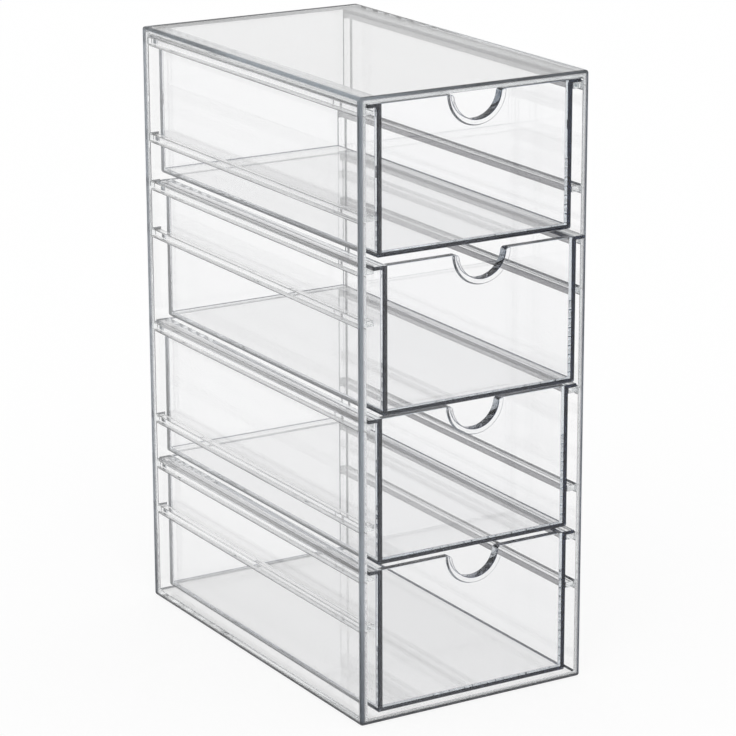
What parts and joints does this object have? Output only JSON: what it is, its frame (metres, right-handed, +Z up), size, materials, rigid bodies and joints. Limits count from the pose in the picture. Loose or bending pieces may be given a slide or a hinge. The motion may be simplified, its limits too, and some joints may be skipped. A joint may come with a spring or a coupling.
{
  "type": "acrylic drawer organizer",
  "caption": "Clear acrylic tower with an open front, whose side rails carry shallow sliding drawers with half-round finger notches.",
  "frame": {"origin": "centre of the case's bottom face, where it stands on a table", "axes": "+Z up, -Y towards the open front that the drawers pull out of, +X to the right seen from the front"},
  "size_m": [0.104, 0.181, 0.251],
  "materials": {
    "clear_case": "clear polished acrylic sheet, slightly rounded edges",
    "clear_rail": "clear acrylic strip",
    "clear_drawer": "clear acrylic sheet, polished edges",
    "clear_drawer_front": "clear acrylic sheet with a polished notch and raised lip",
    "clear_runner": "clear acrylic strip"
  },
  "bodies": {
    "case": {"top_panel": "clear_case", "floor_panel": "clear_case", "back_panel": "clear_case", "left_side_panel": "clear_case", "right_side_panel": "clear_case", "left_rail_1": "clear_rail", "right_rail_1": "clear_rail", "left_rail_2": "clear_rail", "right_rail_2": "clear_rail", "left_rail_3": "clear_rail", "right_rail_3": "clear_rail", "left_rail_4": "clear_rail", "right_rail_4": "clear_rail", "left_rail_5": "clear_rail", "right_rail_5": "clear_rail", "left_rail_6": "clear_rail", "right_rail_6": "clear_rail", "left_rail_7": "clear_rail", "right_rail_7": "clear_rail", "left_rail_8": "clear_rail", "right_rail_8": "clear_rail"},
    "drawer_1": {"drawer_1_front": "clear_drawer_front", "drawer_1_floor": "clear_drawer", "drawer_1_back": "clear_drawer", "drawer_1_left_side": "clear_drawer", "drawer_1_right_side": "clear_drawer", "drawer_1_left_runner": "clear_runner", "drawer_1_right_runner": "clear_runner"},
    "drawer_2": {"drawer_2_front": "clear_drawer_front", "drawer_2_floor": "clear_drawer", "drawer_2_back": "clear_drawer", "drawer_2_left_side": "clear_drawer", "drawer_2_right_side": "clear_drawer", "drawer_2_left_runner": "clear_runner", "drawer_2_right_runner": "clear_runner"},
    "drawer_3": {"drawer_3_front": "clear_drawer_front", "drawer_3_floor": "clear_drawer", "drawer_3_back": "clear_drawer", "drawer_3_left_side": "clear_drawer", "drawer_3_right_side": "clear_drawer", "drawer_3_left_runner": "clear_runner", "drawer_3_right_runner": "clear_runner"},
    "drawer_4": {"drawer_4_front": "clear_drawer_front", "drawer_4_floor": "clear_drawer", "drawer_4_back": "clear_drawer", "drawer_4_left_side": "clear_drawer", "drawer_4_right_side": "clear_drawer", "drawer_4_left_runner": "clear_runner", "drawer_4_right_runner": "clear_runner"}
  },
  "joints": [
    {"name": "drawer_1_slide", "type": "slide", "parent": "case", "child": "drawer_1", "axis": [0, -1, 0], "range_m": [0, 0.13]},
    {"name": "drawer_2_slide", "type": "slide", "parent": "case", "child": "drawer_2", "axis": [0, -1, 0], "range_m": [-0.004, 0.126]},
    {"name": "drawer_3_slide", "type": "slide", "parent": "case", "child": "drawer_3", "axis": [0, -1, 0], "range_m": [0, 0.13]},
    {"name": "drawer_4_slide", "type": "slide", "parent": "case", "child": "drawer_4", "axis": [0, -1, 0], "range_m": [0, 0.13]}
  ]
}
